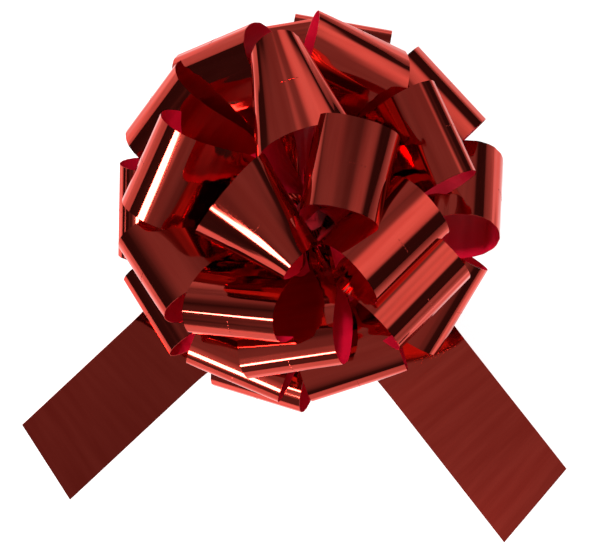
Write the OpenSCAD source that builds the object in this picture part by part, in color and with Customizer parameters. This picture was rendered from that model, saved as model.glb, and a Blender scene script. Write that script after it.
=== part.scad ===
// Pre-made pull bow: a ball of ribbon loops welded to a stack in the middle and gathered on two
// narrow pull ribbons that are knotted behind, with two wide tails.
// The bow lies on its back. The origin is on its underside, below the middle of the stack.
// +Z points out of the ball, and -Y is the side where the tails lie.

/* [Ribbon] */
// Width of the wide ribbon
ribbon_w = 50; // [46:1:50]
// Thickness of the film, a little over the real film's so that it can be handled
film = 0.4; // [0.3:0.05:0.5]

/* [Ball] */
// Height of the middle of the ball above the underside
ball_z = 42; // [41:0.5:44]
// Distance from the stack's axis to the point that a loop runs from
root_r = 6; // [5.5:0.5:6.5]
// Width of the ribbon where it is gathered and welded to the stack
neck_w = 6; // [4:0.5:7]

/* [Tails] */
// Reach of the left tail from the stack's axis
left_len = 186; // [170:1:200]
// Reach of the right tail from the stack's axis
right_len = 189; // [170:1:200]
// Distance from the stack's axis to the fold line where a tail leaves the ball
fold_r = 104; // [102:1:110]
// Tilt of the left tail's outer half about its own length
left_roll = 26; // [15:1:28]
// Tilt of the right tail's outer half about its own length
right_roll = 14; // [5:1:20]

/* [Pull ribbons] */
// Width of a pull ribbon
pull_w = 5; // [4:0.5:6]
// Thickness of a pull ribbon
pull_t = 0.5; // [0.4:0.1:0.6]

/* [Hidden] */
film_red = "firebrick";
inner_red = "crimson";

// One row a loop, from the crown down to the base:
// [compass direction, elevation, spin of the crest about the loop's own line,
//  reach from the ball's middle, fullness, flare across the width, lean of the crest,
//  how far out the gathers run, as a share of the loop]
LOOPS = [
  // crown
  [ 45,  71, -60,  97, 40,  0.05, -10, 0.60],
  [199,  73,  30,  95, 36, -0.42,  10, 0.60],
  [340,  61, -30,  97, 38,  0.00,   0, 0.60],
  // upper ring
  [235,  45,  40,  97, 27,  0.00,   0, 0.60],
  [ 99,  48, -80,  97, 40, -0.30,  35, 0.60],
  [323,  41, -12,  97, 38,  0.00,   0, 0.65],
  [ 32,  32, -15,  96, 25,  0.00,   0, 0.60],
  [263,  38,  26,  96, 24,  0.00,   0, 0.65],
  // middle ring
  [162,  18, -22,  92, 34,  0.00,   0, 0.50],
  [201,  20,  34,  95, 25,  0.00,   0, 0.60],
  [245,  15,   9,  95, 24,  0.00,   0, 0.75],
  [286,  19,   6,  93, 28,  0.00,   0, 0.80],
  [327,  12,  10,  92, 28,  0.00,   0, 0.75],
  [ 74,  15,  15,  98, 32, -0.35,  12, 0.70],
  [119,  10, -40, 101.5, 30,  0.00,   0, 0.50],
  // outer ring
  [  6,  12, -42,  98, 32,  0.00,   0, 0.60],
  [ 43,   5,  -2,  98, 30,  0.00,   0, 0.70],
  [ 80,  -4,   0, 100, 18,  0.00,   0, 0.70],
  [ 99,  -1,  -8,  98, 18,  0.00,   0, 0.70],
  [143,   0, -34, 100, 30,  0.00,   0, 0.55],
  [178,  -3, -24,  97, 20,  0.00,   0, 0.70],
  [212, -1.5,  27,  97, 16,  0.00,   0, 0.70],
  [254,  -5,  20,  97, 22,  0.00,   0, 0.70],
  // base ring
  [ 12, -20,   0,  90, 20,  0.00,   0, 0.80],
  [ 66, -22,   0,  90, 18,  0.00,   0, 0.80],
  [121, -21,   0,  90, 18,  0.00,   0, 0.80],
  [166, -19,   0,  90, 18,  0.00,   0, 0.80],
  [265, -18,   0,  88, 14,  0.00,   0, 0.80]
];
LOOP_NODES = [for (i = [1 : len(LOOPS)]) str("loop_", i < 10 ? "0" : "", i)];

// Heights, from the underside up
tab_t = 1.2;                       // folded end of the ribbon under the bow
eye_t = 0.6;                       // eye at a tail's gathered end
eye_gap = 0.3;                     // play between eyes
left_eye_z = tab_t + eye_gap;
right_eye_z = left_eye_z + eye_t + eye_gap;
knot_z = right_eye_z + eye_t + eye_gap;
knot_h = 5.7;
stack_z = knot_z + knot_h;
stack_top = 66;

// Stack of welded tabs, each gathered into a blunt octagon
tab_r = 8;
tab_sides = 8;
tab_pitch = 3;
tab_turn = 25;
slot_x = 2.6;
slot_play = 0.4;

// Tie behind the bow
neck_r = 2.9;
eye_r = 3.2;
eye_outer_r = 7.5;
knot_r = 5.5;
knot_round = 2;

// Tails: direction, how the end is cut, and how far its tip lifts off the table
left_az = 223;
right_az = 308;
left_cut = 12;
right_cut = -13;
right_lift = 8;
tail_start = 6;
tail_neck = 8;
tail_full_r = 60;
roll_from = 50;
fold_gap = 0.4;
tail_z = tab_t + eye_gap + eye_t / 2;

// Loops
loop_steps = 44;
weld_angle = 14;                   // where along its round a loop leaves the stack
sharpness = 2.5;                   // how closely the two legs of a loop lie together
peak_angle = atan(sqrt(sharpness + 1));
peak = 2 * pow(sin(peak_angle), sharpness + 1) * cos(peak_angle);
root_mid_z = 36;
root_rise = 0.35;                  // a loop's weld lies higher by this much a degree of elevation

function unit(v) = v / norm(v);
function ease(t) = let (c = min(max(t, 0), 1)) c * c * (3 - 2 * c);
function heading(az, el) = [cos(el) * cos(az), cos(el) * sin(az), sin(el)];

// A point of a loop's middle surface: t runs round the loop, v across the ribbon from -1 to 1
function loop_point(row, t, v) =
  let (
    az = row[0],
    root = [root_r * cos(az), root_r * sin(az), root_mid_z + root_rise * row[1]],
    reach = [0, 0, ball_z] + row[3] * heading(az, row[1]) - root,
    out = unit(reach),
    level = [-sin(az), cos(az), 0],
    wide = cos(row[2]) * level + sin(row[2]) * cross(out, level),
    thick = cross(out, wide),
    share = (1 - cos(t)) / 2,
    half_w = (neck_w + (ribbon_w - neck_w) * ease(share / row[7])) / 2,
    skew = half_w * v * share * sin(row[6]),
    across = half_w * v * (1 - share * (1 - cos(row[6]))),
    bulge = row[4] / 2 * (1 + row[5] * v) / peak * sin(t) * pow(sin(t / 2), sharpness)
  )
  root + out * (norm(reach) * share + skew) + wide * across + thick * bulge;

function loop_normal(row, t, v) =
  unit(cross(
    loop_point(row, t + 1, v) - loop_point(row, t - 1, v),
    loop_point(row, t, 1) - loop_point(row, t, -1)
  ));

function loop_section(row, t) = [
  loop_point(row, t, -1) + loop_normal(row, t, -1) * film / 2,
  loop_point(row, t, 1) + loop_normal(row, t, 1) * film / 2,
  loop_point(row, t, 1) - loop_normal(row, t, 1) * film / 2,
  loop_point(row, t, -1) - loop_normal(row, t, -1) * film / 2
];

// Closed solid through a row of four-cornered sections. Both faces of the film are split along
// the same diagonals, so that a twisted ribbon keeps its thickness.
module ribbon(sections) {
  n = len(sections);
  points = [for (s = sections) for (p = s) p];
  sides = [
    for (i = [0 : n - 2])
      let (p = 4 * i)
      for (face = [
        [p, p + 1, p + 5], [p, p + 5, p + 4],
        [p + 1, p + 2, p + 6], [p + 1, p + 6, p + 5],
        [p + 3, p + 7, p + 6], [p + 3, p + 6, p + 2],
        [p + 3, p, p + 4], [p + 3, p + 4, p + 7]
      ]) face
  ];
  last = 4 * (n - 1);
  ends = [[0, 2, 1], [0, 3, 2], [last, last + 1, last + 2], [last, last + 2, last + 3]];
  polyhedron(points, concat(sides, ends));
}

module loop(row) {
  step = (360 - 2 * weld_angle) / loop_steps;
  color(film_red)
    ribbon([for (i = [0 : loop_steps]) loop_section(row, weld_angle + i * step)]);
}

// A tail's section at distance r: the side away from the other tail rises as the tail rolls
function tail_section(az, r, reach, roll, cut, lift, start_z) =
  let (
    half_w = (tail_neck + (ribbon_w - tail_neck) * ease((r - tail_start) / tail_full_r)) / 2,
    out = ease((r - fold_r) / (reach - fold_r)),
    along = [cos(az), sin(az), 0],
    level = [-sin(az), cos(az), 0],
    tilt = roll * ease((r - roll_from) / (fold_r - roll_from)),
    wide = cos(tilt) * level + sin(tilt) * [0, 0, 1],
    up = cross(along, wide),
    z = tail_z + (start_z - tail_z) * (1 - ease((r - tail_start) / 30))
      + abs(sin(tilt)) * half_w + lift * out,
    mid = r * along + [0, 0, z]
  )
  [
    for (c = [[-1, 1], [1, 1], [1, -1], [-1, -1]])
      mid + half_w * c[0] * wide + along * half_w * c[0] * tan(cut) * out + up * c[1] * film / 2
  ];

module tail_strip(az, from, to, steps, reach, roll, cut, lift, start_z) {
  ribbon([
    for (i = [0 : steps])
      tail_section(az, from + (to - from) * i / steps, reach, roll, cut, lift, start_z)
  ]);
}

module tail_eye(z) {
  translate([0, 0, z])
    difference() {
      cylinder(r = eye_outer_r, h = eye_t, $fn = 64);
      translate([0, 0, -1])
        cylinder(r = eye_r, h = eye_t + 2, $fn = 64);
    }
}

module tail_left_root() {
  color(film_red) {
    tail_strip(left_az, tail_start, fold_r - fold_gap / 2, 24,
      left_len, -left_roll, left_cut, 0, left_eye_z + eye_t / 2);
    tail_eye(left_eye_z);
  }
}

module tail_left_end() {
  color(film_red)
    tail_strip(left_az, fold_r + fold_gap / 2, left_len, 16,
      left_len, -left_roll, left_cut, 0, 0);
}

module tail_right_root() {
  color(film_red) {
    tail_strip(right_az, tail_start, fold_r - fold_gap / 2, 24,
      right_len, right_roll, right_cut, right_lift, right_eye_z + eye_t / 2);
    tail_eye(right_eye_z);
  }
}

module tail_right_end() {
  color(film_red)
    tail_strip(right_az, fold_r + fold_gap / 2, right_len, 16,
      right_len, right_roll, right_cut, right_lift, 0);
}

// Welded tabs of the ribbon, one on another, with two slots for the pull ribbons
module weld_stack() {
  layers = floor((stack_top - stack_z) / tab_pitch);
  layer_h = (stack_top - stack_z) / layers;
  color(inner_red)
    difference() {
      for (i = [0 : layers - 1])
        translate([0, 0, stack_z + i * layer_h])
          rotate([0, 0, i * tab_turn])
            cylinder(r = tab_r, h = layer_h, $fn = tab_sides);
      for (side = [-1, 1])
        translate([side * slot_x, 0, (stack_z + stack_top) / 2])
          cube([pull_t + slot_play, pull_w + slot_play, stack_top], center = true);
    }
}

// A pull ribbon runs up through the stack and is folded over on top of it
module pull_ribbon(side) {
  color(inner_red)
    translate([side * slot_x, 0, 0]) {
      translate([-pull_t / 2, -pull_w / 2, stack_z])
        cube([pull_t, pull_w, stack_top - stack_z + pull_t]);
      translate([side > 0 ? -slot_x + pull_t : 0, -pull_w / 2, stack_top])
        cube([slot_x - pull_t, pull_w, pull_t]);
    }
}

// The knot, its neck through the tails' eyes, and the two trimmed ends of the pull ribbons
module back_knot() {
  color(inner_red) {
    translate([0, 0, tab_t])
      cylinder(r = neck_r, h = knot_z - tab_t + 1, $fn = 64);
    translate([0, 0, knot_z])
      rotate_extrude($fn = 64) {
        square([knot_r - knot_round, knot_h]);
        translate([0, knot_round])
          square([knot_r, knot_h - 2 * knot_round]);
        for (z = [knot_round, knot_h - knot_round])
          translate([knot_r - knot_round, z])
            circle(r = knot_round, $fn = 32);
      }
    for (az = [65, 115])
      rotate([0, 0, az])
        translate([knot_r - 2, -pull_w / 2, knot_z + knot_h / 2])
          cube([14, pull_w, pull_t]);
  }
}

// Folded end of the ribbon, which the bow lies on
module base_tab() {
  color(film_red)
    translate([-22, -20, 0])
      cube([44, 40, tab_t]);
}

weld_stack();
pull_ribbon(-1);  // pull_ribbon_left
pull_ribbon(1);  // pull_ribbon_right
back_knot();
base_tab();
tail_left_root();
tail_left_end();
tail_right_root();
tail_right_end();
for (i = [0 : len(LOOPS) - 1])
  loop(LOOPS[i]);
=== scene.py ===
import math

import bmesh
import bpy
import numpy as np
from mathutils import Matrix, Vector


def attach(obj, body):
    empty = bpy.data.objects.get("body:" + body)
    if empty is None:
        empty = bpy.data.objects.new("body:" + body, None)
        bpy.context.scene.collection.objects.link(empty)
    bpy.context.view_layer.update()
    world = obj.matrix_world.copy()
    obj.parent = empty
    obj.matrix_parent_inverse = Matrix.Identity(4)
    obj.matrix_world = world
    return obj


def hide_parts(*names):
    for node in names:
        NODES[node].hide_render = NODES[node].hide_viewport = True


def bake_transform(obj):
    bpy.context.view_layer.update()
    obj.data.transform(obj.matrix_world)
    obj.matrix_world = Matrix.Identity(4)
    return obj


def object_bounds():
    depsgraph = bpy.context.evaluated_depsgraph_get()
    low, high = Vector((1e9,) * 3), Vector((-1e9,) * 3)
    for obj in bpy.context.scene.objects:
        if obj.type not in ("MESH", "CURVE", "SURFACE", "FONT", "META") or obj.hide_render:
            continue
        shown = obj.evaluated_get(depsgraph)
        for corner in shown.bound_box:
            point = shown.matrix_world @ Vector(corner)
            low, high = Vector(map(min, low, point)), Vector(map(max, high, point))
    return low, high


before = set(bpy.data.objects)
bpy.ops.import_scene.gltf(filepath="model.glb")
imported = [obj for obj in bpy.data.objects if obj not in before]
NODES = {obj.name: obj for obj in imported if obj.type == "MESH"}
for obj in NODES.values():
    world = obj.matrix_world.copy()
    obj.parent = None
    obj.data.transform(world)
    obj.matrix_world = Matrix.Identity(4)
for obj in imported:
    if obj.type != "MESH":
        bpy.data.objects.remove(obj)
cad_lo, cad_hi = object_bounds()
RNG = np.random.default_rng(20)

# ---------------------------------------------------------------- sizes
RIBBON_W = 0.050            # width of the wide ribbon
FILM_T = 0.00016            # thickness of the film that is shown
LOOP_NAMES = sorted(n for n in NODES if n.startswith("loop_"))
STEPS_ALONG = 6             # rows of a shown loop for each row of its CAD solid
TAIL_STEPS_ALONG = 4        # the same for a tail
STEPS_ACROSS = 16           # columns of a shown loop; a tail has twice as many
SAME_POINT = 2e-5           # CAD points that are nearer than this are one point
SHARP = math.radians(45)    # a CAD strip's faces meet its edges at more than this
FILM_SHARP = math.radians(50)  # edges of the shown film sharper than this aren't smoothed over
EYE_REACH = 0.0085          # the eyes of the tails lie inside this radius
ROW_GAP = 0.0005            # a tail's rows of CAD points are further apart than this

# the film's slight waves along a loop: how many to its length, and how strong each is
WAVE_H = 0.00035
WAVES = ((3, 1), (5, 1), (8, 1), (13, 1.8), (21, 2.6), (34, 4))
WAVE_FADE = 0.5             # share of the way up a loop over which its waves come in
PLEAT_H = 0.0008            # gathers at a loop's neck
PLEAT_FADE = 0.45           # share of the way up a loop over which its gathers fade out
TAIL_PLEAT_H = 0.0006       # gathers at a tail's neck
GATHER_FROM, GATHER_LENGTH = 0.01, 0.05  # a tail's gathers fade out over this, from the tie outwards
PLEATS = 4                  # pleats across a ribbon
EYE_PLEATS = 24             # pleats round a tail's eye
EYE_DEPTH = 0.75            # how much of the eye's thickness they take up

# ---------------------------------------------------------------- camera
EYE_HEIGHT = 30 * RIBBON_W
FOCUS_Z = 1.2 * RIBBON_W    # the ball's upper half
VIEW_W = 5.9 * RIBBON_W     # width of the picture at that height
CAMERA_SHIFT = (0.0003, 0.0023)  # from the middle of the CAD box, in x and y


def make_camera():
    """Straight down on the bow, as in the photo."""
    centre = (cad_lo + cad_hi) / 2
    data = bpy.data.cameras.new("camera")
    data.sensor_width = 36
    data.lens = data.sensor_width * (EYE_HEIGHT - FOCUS_Z) / VIEW_W
    data.clip_start, data.clip_end = 0.05, 50
    cam = bpy.data.objects.new("camera", data)
    cam.location = (centre.x + CAMERA_SHIFT[0], centre.y + CAMERA_SHIFT[1], EYE_HEIGHT)
    bpy.context.scene.collection.objects.link(cam)
    bpy.context.scene.camera = cam


make_camera()


# ---------------------------------------------------------------- reading a strip out of a CAD solid
def smooth_regions(bm):
    """The faces grouped into regions with no sharp edge inside: {face index: group number}, groups."""
    region, groups = {}, []
    for start in bm.faces:
        if start.index in region:
            continue
        stack, members = [start], []
        region[start.index] = len(groups)
        while stack:
            face = stack.pop()
            members.append(face)
            for edge in face.edges:
                if len(edge.link_faces) == 2 and edge.calc_face_angle() < SHARP:
                    for other in edge.link_faces:
                        if other.index not in region:
                            region[other.index] = len(groups)
                            stack.append(other)
        groups.append(members)
    return region, groups


def strip_edges(name):
    """The two long edges of a CAD strip's upper or outer face, point by point: two arrays (n, 3)."""
    bm = bmesh.new()
    bm.from_mesh(NODES[name].data)
    bmesh.ops.remove_doubles(bm, verts=bm.verts, dist=SAME_POINT)
    bm.normal_update()
    bm.faces.ensure_lookup_table()
    region, groups = smooth_regions(bm)
    area = [sum(f.calc_area() for f in g) for g in groups]
    order = sorted(range(len(groups)), key=lambda k: -area[k])[:2]
    centre = sum((v.co for v in bm.verts), Vector()) / len(bm.verts)

    def outward(k):
        return sum(f.calc_area() * f.normal.dot(f.calc_center_median() - centre) for f in groups[k])

    # the chosen face's border, sorted into its two long edges and its two short ones
    face_id = max(order, key=outward)
    links, caps = {}, []
    for edge in bm.edges:
        sides = [region[f.index] for f in edge.link_faces]
        if sides.count(face_id) != 1:
            continue
        other = sides[0] if sides[1] == face_id else sides[1]
        a, b = edge.verts
        if len(groups[other]) == 2:
            caps.append((a, b))
            continue
        links.setdefault(a, []).append(b)
        links.setdefault(b, []).append(a)

    def walk(first):
        path, last = [first], None
        while True:
            onward = [v for v in links[path[-1]] if v is not last]
            if not onward:
                return np.array([v.co for v in path], float)
            last = path[-1]
            path.append(onward[0])

    left, right = walk(caps[0][0]), walk(caps[0][1])
    middle = len(left) // 2
    along = left[middle + 1] - left[middle - 1]
    across = right[middle] - left[middle]
    out = (left[middle] + right[middle]) / 2 - np.array(centre)
    if np.dot(np.cross(along, across), out) < 0:
        left, right = right, left
    bm.free()
    return left, right


def smooth_line(points, count):
    """A Catmull-Rom curve through the points, with count points to a span."""
    p = np.vstack([2 * points[0] - points[1], points, 2 * points[-1] - points[-2]])
    made = []
    for i in range(1, len(p) - 2):
        for t in np.arange(count) / count:
            a, b, c, d = p[i - 1], p[i], p[i + 1], p[i + 2]
            bend = 2 * a - 5 * b + 4 * c - d + t * (3 * (b - c) + d - a)
            made.append(b + 0.5 * t * (c - a + t * bend))
    made.append(points[-1])
    return np.array(made)


def ease(t):
    """0 to 1 with no slope at either end."""
    t = np.clip(t, 0, 1)
    return t * t * (3 - 2 * t)


def sheet_between(left, right, columns):
    """Straight rows of points from one long edge to the other: (rows, columns + 1, 3)."""
    v = np.linspace(0, 1, columns + 1)[None, :, None]
    return left[:, None] * (1 - v) + right[:, None] * v


# ---------------------------------------------------------------- ribbon pieces
def normals_of(grid):
    """Unit normals, on the side that along x across points to."""
    along = np.gradient(grid, axis=0)
    across = np.gradient(grid, axis=1)
    n = np.cross(along, across)
    return n / np.maximum(np.linalg.norm(n, axis=2, keepdims=True), 1e-12)


def film_piece(name, grid, serial, materials, extra=None):
    """A thin two-sided film over a grid of points (rows along, columns across).

    materials are for the outer and the inner face. extra is more points and faces on the outer face.
    film_uv holds each point's distance along and across the ribbon, and the piece's serial number.
    """
    n, m, _ = grid.shape
    inner = grid - normals_of(grid) * FILM_T
    points = np.concatenate([grid.reshape(-1, 3), inner.reshape(-1, 3)])
    k = n * m
    at = np.arange(k).reshape(n, m)
    a, b, c, d = at[:-1, :-1], at[1:, :-1], at[1:, 1:], at[:-1, 1:]
    outer_faces = np.stack([a, b, c, d], -1).reshape(-1, 4)
    inner_faces = outer_faces[:, ::-1] + k
    rim = []
    edges = [at[:, 0], at[-1, :], at[::-1, -1], at[0, ::-1]]
    for line in edges:
        for p, q in zip(line[:-1], line[1:]):
            rim.append((q, p, p + k, q + k))
    faces = [tuple(int(x) for x in f) for f in outer_faces]
    faces += [tuple(int(x) for x in f) for f in inner_faces]
    faces += [tuple(int(x) for x in f) for f in rim]
    kinds = [0] * len(outer_faces) + [1] * len(inner_faces) + [0] * len(rim)

    middle = grid[:, m // 2]
    run = np.concatenate([[0], np.cumsum(np.linalg.norm(np.diff(middle, axis=0), axis=1))])
    u = np.repeat(run[:, None], m, 1)
    v = np.repeat(np.linspace(-0.5, 0.5, m)[None, :] * RIBBON_W, n, 0)
    uv = np.stack([u, v, np.full_like(u, serial)], -1).reshape(-1, 3)
    uv = np.concatenate([uv, uv])
    if extra is not None:
        faces += [tuple(int(i) + len(points) for i in f) for f in extra[1]]
        kinds += [0] * len(extra[1])
        points = np.concatenate([points, extra[0]])
        uv = np.concatenate([uv, np.repeat([[run[-1] / 2, 0, serial]], len(extra[0]), 0)])

    mesh = bpy.data.meshes.new(name)
    mesh.from_pydata([tuple(p) for p in points], [], faces)
    for material in materials:
        mesh.materials.append(material)
    mesh.polygons.foreach_set("material_index", kinds)
    mesh.polygons.foreach_set("use_smooth", [True] * len(faces))
    mesh.attributes.new("film_uv", "FLOAT_VECTOR", "POINT").data.foreach_set("vector", uv.ravel())
    mesh.update()
    mesh.set_sharp_from_angle(angle=FILM_SHARP)
    obj = bpy.data.objects.new(name, mesh)
    bpy.context.scene.collection.objects.link(obj)
    return obj


def weld_dashes(grid, count=5, length=0.0011, width=0.0004, height=0.00012, pitch=0.0019):
    """Small raised marks of the heat seal, in a row along the middle of a loop's crest."""
    n, m, _ = grid.shape
    row, column = n // 2, m // 2
    across = grid[row, column + 1] - grid[row, column - 1]
    across = across / np.linalg.norm(across)
    spacing = np.linalg.norm(grid[row + 1, column] - grid[row, column])
    points, faces = [], []
    for i in range(count):
        shift = (i - (count - 1) / 2) * pitch
        position = row + shift / spacing
        low = int(math.floor(position))
        here = grid[low, column] * (low + 1 - position) + grid[low + 1, column] * (position - low)
        step = grid[low + 1, column] - grid[low, column]
        step = step / np.linalg.norm(step)
        lift = np.cross(step, across)
        first = len(points)
        for s in (-1, 1):
            for t in (-1, 1):
                points.append(here + s * step * length / 2 + t * across * width / 2 - lift * 1e-5)
        for s in (-1, 1):
            for t in (-1, 1):
                points.append(here + s * step * length / 3 + t * across * width / 4 + lift * height)
        f = first
        faces += [
            (f + 4, f + 6, f + 7, f + 5),
            (f, f + 2, f + 6, f + 4),
            (f + 2, f + 3, f + 7, f + 6),
            (f + 3, f + 1, f + 5, f + 7),
            (f + 1, f, f + 4, f + 5),
        ]
    return np.array(points), faces


def loop_grid(name):
    """The loop's outer face as a smooth grid, with the film's slight waves and the gathers at its neck."""
    left, right = strip_edges(name)
    left, right = smooth_line(left, STEPS_ALONG), smooth_line(right, STEPS_ALONG)
    grid = sheet_between(left, right, STEPS_ACROSS)
    n = len(grid)
    t = np.linspace(0, 1, n)
    share = (1 - np.cos(2 * math.pi * t)) / 2
    wave = np.zeros(n)
    for cycles, weight in WAVES:
        wave += RNG.normal() * weight / cycles * np.sin(2 * math.pi * (cycles * t + RNG.random()))
    wave *= WAVE_H * ease(share / WAVE_FADE)
    pleats = np.cos(math.pi * np.linspace(-1, 1, STEPS_ACROSS + 1) * PLEATS + RNG.random() * 2)
    gather = PLEAT_H * (1 - ease(share / PLEAT_FADE))
    push = wave[:, None] + gather[:, None] * pleats[None, :]
    return grid + normals_of(grid) * push[:, :, None]


# ---------------------------------------------------------------- materials
def new_material(name):
    """A material with a Principled shader: (material, its node tree, the shader)."""
    material = bpy.data.materials.new(name)
    material.use_nodes = True
    tree = material.node_tree
    tree.nodes.clear()
    out = tree.nodes.new("ShaderNodeOutputMaterial")
    shader = tree.nodes.new("ShaderNodeBsdfPrincipled")
    tree.links.new(shader.outputs[0], out.inputs[0])
    return material, tree, shader


def node(tree, kind, **values):
    """A new shader node, with its inputs or its own settings filled in."""
    made = tree.nodes.new(kind)
    for key, value in values.items():
        if key in made.inputs:
            made.inputs[key].default_value = value
        else:
            setattr(made, key, value)
    return made


def streaks(tree, stretch, scale, detail=3.0):
    """Noise drawn out across the ribbon, so that it reads as fine lines parallel to the loop's folds."""
    attribute = node(tree, "ShaderNodeAttribute", attribute_name="film_uv")
    mapping = tree.nodes.new("ShaderNodeMapping")
    mapping.inputs["Scale"].default_value = (scale, scale / stretch, 7.3)
    noise = node(tree, "ShaderNodeTexNoise", Scale=1.0, Detail=detail)
    tree.links.new(attribute.outputs["Vector"], mapping.inputs["Vector"])
    tree.links.new(mapping.outputs[0], noise.inputs["Vector"])
    return noise


def ramp(tree, source, low, high, at=(0.35, 0.65)):
    """The colour from low to high as source goes between the two places in at."""
    made = tree.nodes.new("ShaderNodeValToRGB")
    made.color_ramp.elements[0].position, made.color_ramp.elements[1].position = at
    made.color_ramp.elements[0].color = (*low, 1)
    made.color_ramp.elements[1].color = (*high, 1)
    tree.links.new(source, made.inputs[0])
    return made.outputs[0]


def spread(tree, source, low, high):
    """A value from low to high as the noise in source goes from 0.3 to 0.7."""
    made = node(tree, "ShaderNodeMapRange")
    made.inputs["From Min"].default_value, made.inputs["From Max"].default_value = 0.3, 0.7
    made.inputs["To Min"].default_value, made.inputs["To Max"].default_value = low, high
    tree.links.new(source, made.inputs["Value"])
    return made.outputs[0]


def film_material(name, smooth, rough, coat, ripple):
    """The metallised outer face; smooth and rough are the ends of its roughness, ripple its bump."""
    material, tree, shader = new_material(name)
    coarse, fine = streaks(tree, 14, 260), streaks(tree, 30, 1800, 2.0)
    tone = ramp(tree, coarse.outputs["Fac"], (0.50, 0.040, 0.026), (0.57, 0.054, 0.036))
    tree.links.new(tone, shader.inputs["Base Color"])
    shader.inputs["Metallic"].default_value = 1
    tree.links.new(spread(tree, fine.outputs["Fac"], smooth, rough), shader.inputs["Roughness"])
    bump = node(tree, "ShaderNodeBump", Strength=ripple, Distance=0.0002)
    tree.links.new(coarse.outputs["Fac"], bump.inputs["Height"])
    tree.links.new(bump.outputs[0], shader.inputs["Normal"])
    shader.inputs["Specular Tint"].default_value = (1, 0.7, 0.68, 1)
    shader.inputs["Coat Weight"].default_value = coat
    shader.inputs["Coat Roughness"].default_value = 0.04
    return material


def inner_material():
    """The satin reverse of the film."""
    material, tree, shader = new_material("ribbon_reverse")
    coarse, fine = streaks(tree, 6, 120), streaks(tree, 20, 1500, 2.0)
    tone = ramp(tree, coarse.outputs["Fac"], (0.66, 0.003, 0.028), (0.74, 0.005, 0.036))
    tree.links.new(tone, shader.inputs["Base Color"])
    tree.links.new(spread(tree, fine.outputs["Fac"], 0.38, 0.5), shader.inputs["Roughness"])
    bump = node(tree, "ShaderNodeBump", Strength=0.05, Distance=0.0002)
    tree.links.new(fine.outputs["Fac"], bump.inputs["Height"])
    tree.links.new(bump.outputs[0], shader.inputs["Normal"])
    shader.inputs["Specular IOR Level"].default_value = 0.35
    return material


def solid_film(name, low, high, roughness, ribs, metallic=0.0):
    """Film in a thick bundle or a flat tie: object coordinates, with fine ribs."""
    material, tree, shader = new_material(name)
    shader.inputs["Metallic"].default_value = metallic
    place = tree.nodes.new("ShaderNodeTexCoord")
    mapping = tree.nodes.new("ShaderNodeMapping")
    mapping.inputs["Scale"].default_value = ribs
    noise = node(tree, "ShaderNodeTexNoise", Scale=1.0, Detail=4.0)
    tree.links.new(place.outputs["Object"], mapping.inputs["Vector"])
    tree.links.new(mapping.outputs[0], noise.inputs["Vector"])
    tree.links.new(ramp(tree, noise.outputs["Fac"], low, high), shader.inputs["Base Color"])
    rough = spread(tree, noise.outputs["Fac"], roughness - 0.08, roughness + 0.1)
    tree.links.new(rough, shader.inputs["Roughness"])
    bump = node(tree, "ShaderNodeBump", Strength=0.35, Distance=0.0003)
    tree.links.new(noise.outputs["Fac"], bump.inputs["Height"])
    tree.links.new(bump.outputs[0], shader.inputs["Normal"])
    return material


FACE = film_material("metallised_film_face", smooth=0.05, rough=0.09, coat=0.15, ripple=0.06)
TAIL_FACE = film_material("handled_film_face", smooth=0.09, rough=0.11, coat=0.1, ripple=0.025)
REVERSE = inner_material()
STACK_FILM = solid_film("welded_tabs", (0.16, 0.0, 0.004), (0.42, 0.004, 0.012), 0.4, (90, 90, 2600))
TIE_FILM = solid_film("tie_ribbon", (0.30, 0.0, 0.008), (0.48, 0.004, 0.014), 0.45, (700, 700, 60))
TAB_FILM = solid_film("folded_tab", (0.52, 0.034, 0.020), (0.60, 0.050, 0.028), 0.2, (40, 900, 900), 1.0)


def dress(name, material):
    """Give a carried-over CAD node its material."""
    obj = NODES[name]
    obj.data.materials.clear()
    obj.data.materials.append(material)
    obj.data.polygons.foreach_set("material_index", [0] * len(obj.data.polygons))


dress("weld_stack", STACK_FILM)
for tie in ("pull_ribbon_left", "pull_ribbon_right", "back_knot"):
    dress(tie, TIE_FILM)
dress("base_tab", TAB_FILM)

# ---------------------------------------------------------------- loops
for serial, name in enumerate(LOOP_NAMES):
    grid = loop_grid(name)
    film = film_piece("film_" + name, grid, serial, (FACE, REVERSE), weld_dashes(grid))
    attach(film, "bow")
    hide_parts(name)


# ---------------------------------------------------------------- tails
FIRST_TAIL, FIRST_EYE = 40, 44  # serial numbers, after the loops' own


def join_rows(first, second):
    """The root's last row and the end's first one are a hair apart at the fold, so they become one."""
    return np.vstack([first[:-1], (first[-1:] + second[:1]) / 2, second[1:]])


def tail_rows(side):
    """Both long edges of a tail's upper face, from beside the eye to the cut end."""
    root, end = "tail_%s_root" % side, "tail_%s_end" % side
    left, right = strip_edges(end)
    if np.linalg.norm(left[0][:2]) > np.linalg.norm(left[-1][:2]):
        left, right = left[::-1], right[::-1]
    along = (left[0] + right[0]) / 2
    along[2] = 0
    along /= np.linalg.norm(along)
    across = np.array([-along[1], along[0], 0])
    if np.dot(right[0] - left[0], across) < 0:
        left, right = right, left
    co = np.array([v.co for v in NODES[root].data.vertices], float)
    co = co[co @ along > EYE_REACH]
    co = co[np.argsort(co @ along)]
    breaks = np.nonzero(np.diff(co @ along) > ROW_GAP)[0] + 1
    rows = []
    for corners in np.split(co, breaks):
        place = corners @ across
        middle = (place.min() + place.max()) / 2
        low_side, high_side = corners[place < middle], corners[place > middle]
        rows.append((low_side[np.argmax(low_side[:, 2])], high_side[np.argmax(high_side[:, 2])]))
    root_left = np.array([r[0] for r in rows])
    root_right = np.array([r[1] for r in rows])
    return join_rows(root_left, left), join_rows(root_right, right), along


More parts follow.
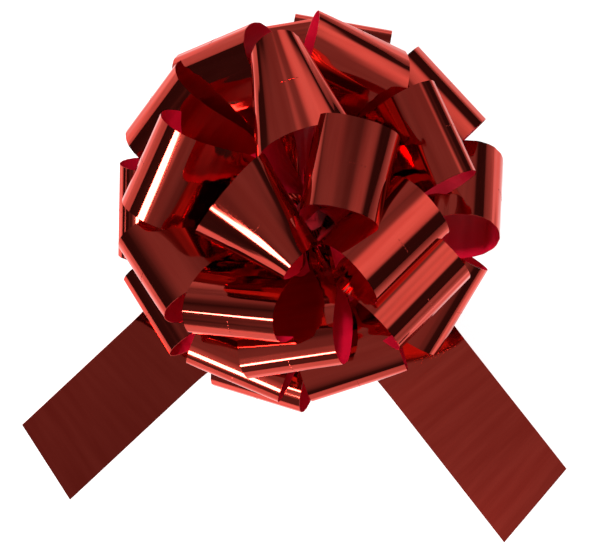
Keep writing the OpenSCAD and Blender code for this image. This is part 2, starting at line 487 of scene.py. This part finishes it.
def make_tail(side, serial):
    """A tail as one film from its eye to its cut end, which bends at the fold."""
    left, right, along = tail_rows(side)
    left, right = smooth_line(left, TAIL_STEPS_ALONG), smooth_line(right, TAIL_STEPS_ALONG)
    columns = 2 * STEPS_ACROSS
    grid = sheet_between(left, right, columns)
    reach = np.einsum("ijk,k->ij", grid, along)
    pleats = np.cos(math.pi * np.linspace(-1, 1, columns + 1) * PLEATS)
    gather = TAIL_PLEAT_H * (1 - ease((reach - GATHER_FROM) / GATHER_LENGTH))
    grid = grid + normals_of(grid) * (gather * pleats[None, :])[:, :, None]
    piece = film_piece("film_tail_" + side, grid, serial, (TAIL_FACE, REVERSE))
    root, end = "tail_%s_root" % side, "tail_%s_end" % side
    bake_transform(piece)
    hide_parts(root, end)


def make_eye(side, serial):
    """The gathered ring at the tail's end, round the neck of the knot: small pleats all the way round."""
    co = np.array([v.co for v in NODES["tail_%s_root" % side].data.vertices], float)
    radius = np.hypot(co[:, 0], co[:, 1])
    ring = radius < EYE_REACH
    inner, outer = radius[ring].min(), radius[ring].max()
    low, high = co[ring, 2].min(), co[ring, 2].max()
    turns, shares = np.linspace(0, 2 * math.pi, 8 * EYE_PLEATS + 1), np.linspace(0, 1, 9)
    turn, share = np.meshgrid(turns, shares, indexing="ij")
    r = inner + (outer - inner) * share
    z = (low + high) / 2 + (high - low) / 2 * EYE_DEPTH * share * np.sin(turn * EYE_PLEATS)
    grid = np.stack([r * np.cos(turn), r * np.sin(turn), z], -1)
    piece = film_piece("film_eye_" + side, grid[::-1], serial, (FACE, REVERSE))
    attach(piece, "tail_%s_root" % side)


for serial, side in enumerate(("left", "right")):
    make_tail(side, FIRST_TAIL + serial)
    make_eye(side, FIRST_EYE + serial)


# ---------------------------------------------------------------- studio
FLOOR_HALF = 3.0            # half the width of the floor
FLOOR_GAP = 0.0003          # the floor is this far below the bow
# the floor's glow under the bow is a painted pool of light that fills in the bow's shadow, so that the
# floor reads evenly white; the pool's darker base colour keeps glow and lamps together near white
POOL = 0.20                 # radius of the bright part of the floor under the bow
PAINTED_POOL_GLOW = 0.90            # its emission; beyond it there is none
POOL_TONE, FLOOR_TONE = 0.30, 0.5  # base colour of the pool, and of the floor beyond it
GLOW_EDGE, TONE_EDGE = 0.05, 0.07  # width over which each of them fades
WARM, WARMER = (1, 0.98, 0.96), (1, 0.97, 0.94)
FILL_PLACE, FILL_WATTS, FILL_ANGLE = (-0.25, 0.95, 1.5), 62, math.radians(26)
# the sky's brightness from straight below to straight above
SKY = ((0.0, 0.04), (0.45, 0.05), (0.62, 0.20), (0.8, 0.30), (1.0, 0.32))
# soft bright places in the sky: azimuth, elevation, half-width outside, half-width inside, brightness
LOBES = (
    (18, 46, 38, 14, 1.0),
    (222, 40, 24, 8, 0.5),
    (108, 6, 42, 14, 0.3),
    (238, 2, 30, 10, 0.13),
)


def direction(azimuth, elevation):
    """The unit vector towards a place in the sky, in degrees."""
    a, e = math.radians(azimuth), math.radians(elevation)
    return Vector((math.cos(e) * math.cos(a), math.cos(e) * math.sin(a), math.sin(e)))


def aim(obj, target):
    """Turn a light towards a point."""
    obj.rotation_euler = (Vector(target) - obj.location).to_track_quat("-Z", "Y").to_euler()


def softbox(name, azimuth, elevation, distance, size, radiance, colour):
    """A rectangular light that faces the middle of the bow."""
    data = bpy.data.lights.new(name, "AREA")
    data.shape = "RECTANGLE"
    data.size, data.size_y = size
    data.energy = radiance * math.pi * size[0] * size[1]
    data.color = colour
    obj = bpy.data.objects.new(name, data)
    centre = Vector((0, 0, (cad_lo.z + cad_hi.z) / 2))
    obj.location = centre + distance * direction(azimuth, elevation)
    bpy.context.scene.collection.objects.link(obj)
    aim(obj, centre)


def top_fill():
    """A soft pool of light from above and behind, for the matt faces: the film doesn't mirror it."""
    data = bpy.data.lights.new("top_fill", "SPOT")
    data.energy = FILL_WATTS
    data.shadow_soft_size = 0.15
    data.spot_size, data.spot_blend = FILL_ANGLE, 0.6
    obj = bpy.data.objects.new("top_fill", data)
    obj.location = FILL_PLACE
    obj.visible_glossy = False
    bpy.context.scene.collection.objects.link(obj)
    aim(obj, (0, 0, 0))


def fading(tree, reach, width, low, high):
    """A value that goes from low to high over width, from the edge of the floor's pool outwards."""
    made = node(tree, "ShaderNodeMapRange", interpolation_type="SMOOTHSTEP")
    made.inputs["From Min"].default_value, made.inputs["From Max"].default_value = POOL, POOL + width
    made.inputs["To Min"].default_value, made.inputs["To Max"].default_value = low, high
    tree.links.new(reach, made.inputs["Value"])
    return made.outputs[0]


def make_floor():
    """A pale floor with a painted pool of light: it glows under the bow, which fills in the bow's shadow,
    and doesn't glow beyond, so that the film mirrors something darker too.
    """
    corners = [(-1, -1), (1, -1), (1, 1), (-1, 1)]
    z = cad_lo.z - FLOOR_GAP
    mesh = bpy.data.meshes.new("floor")
    mesh.from_pydata([(x * FLOOR_HALF, y * FLOOR_HALF, z) for x, y in corners], [], [(0, 1, 2, 3)])
    floor = bpy.data.objects.new("floor", mesh)
    bpy.context.scene.collection.objects.link(floor)
    material, tree, shader = new_material("floor")
    shader.inputs["Roughness"].default_value = 0.7
    shader.inputs["Emission Color"].default_value = (1, 1, 1, 1)
    place = tree.nodes.new("ShaderNodeNewGeometry")
    reach = node(tree, "ShaderNodeVectorMath", operation="LENGTH")
    tree.links.new(place.outputs["Position"], reach.inputs[0])
    distance = reach.outputs["Value"]
    tone = fading(tree, distance, TONE_EDGE, POOL_TONE, FLOOR_TONE)
    # painted pool of light: emission under the bow that fills in its shadow on the floor
    painted_glow = fading(tree, distance, GLOW_EDGE, PAINTED_POOL_GLOW, 0.0)
    tree.links.new(tone, shader.inputs["Base Color"])
    tree.links.new(painted_glow, shader.inputs["Emission Strength"])
    mesh.materials.append(material)


def make_sky():
    """A plain grey sky that is lighter above, with a few soft bright places."""
    world = bpy.data.worlds.new("studio")
    bpy.context.scene.world = world
    world.use_nodes = True
    tree = world.node_tree
    tree.nodes.clear()
    out = tree.nodes.new("ShaderNodeOutputWorld")
    back = tree.nodes.new("ShaderNodeBackground")
    place = tree.nodes.new("ShaderNodeTexCoord")
    split = tree.nodes.new("ShaderNodeSeparateXYZ")
    shade = tree.nodes.new("ShaderNodeValToRGB")
    shade.color_ramp.elements.remove(shade.color_ramp.elements[1])
    for i, (at, value) in enumerate(SKY):
        stop = shade.color_ramp.elements[0] if i == 0 else shade.color_ramp.elements.new(at)
        stop.position, stop.color = at, (value, value, value, 1)
    tree.links.new(place.outputs["Generated"], split.inputs[0])
    tree.links.new(split.outputs["Z"], shade.inputs[0])
    total = shade.outputs[0]
    for azimuth, elevation, wide, narrow, value in LOBES:
        dot = node(tree, "ShaderNodeVectorMath", operation="DOT_PRODUCT")
        dot.inputs[1].default_value = direction(azimuth, elevation)
        lobe = node(tree, "ShaderNodeMapRange", interpolation_type="SMOOTHSTEP")
        lobe.inputs["From Min"].default_value = math.cos(math.radians(wide))
        lobe.inputs["From Max"].default_value = math.cos(math.radians(narrow))
        lobe.inputs["To Max"].default_value = value
        both = node(tree, "ShaderNodeVectorMath", operation="ADD")
        tree.links.new(place.outputs["Generated"], dot.inputs[0])
        tree.links.new(dot.outputs["Value"], lobe.inputs["Value"])
        tree.links.new(total, both.inputs[0])
        tree.links.new(lobe.outputs[0], both.inputs[1])
        total = both.outputs[0]
    tree.links.new(total, back.inputs["Color"])
    tree.links.new(back.outputs[0], out.inputs[0])


make_floor()
softbox("key", azimuth=222, elevation=38, distance=1.2, size=(1.3, 0.19), radiance=36.0, colour=WARM)
top_fill()
softbox("side_strip", azimuth=10, elevation=33, distance=1.3, size=(0.9, 0.05), radiance=4.0, colour=WARMER)
make_sky()
bpy.context.scene.view_settings.view_transform = "Standard"
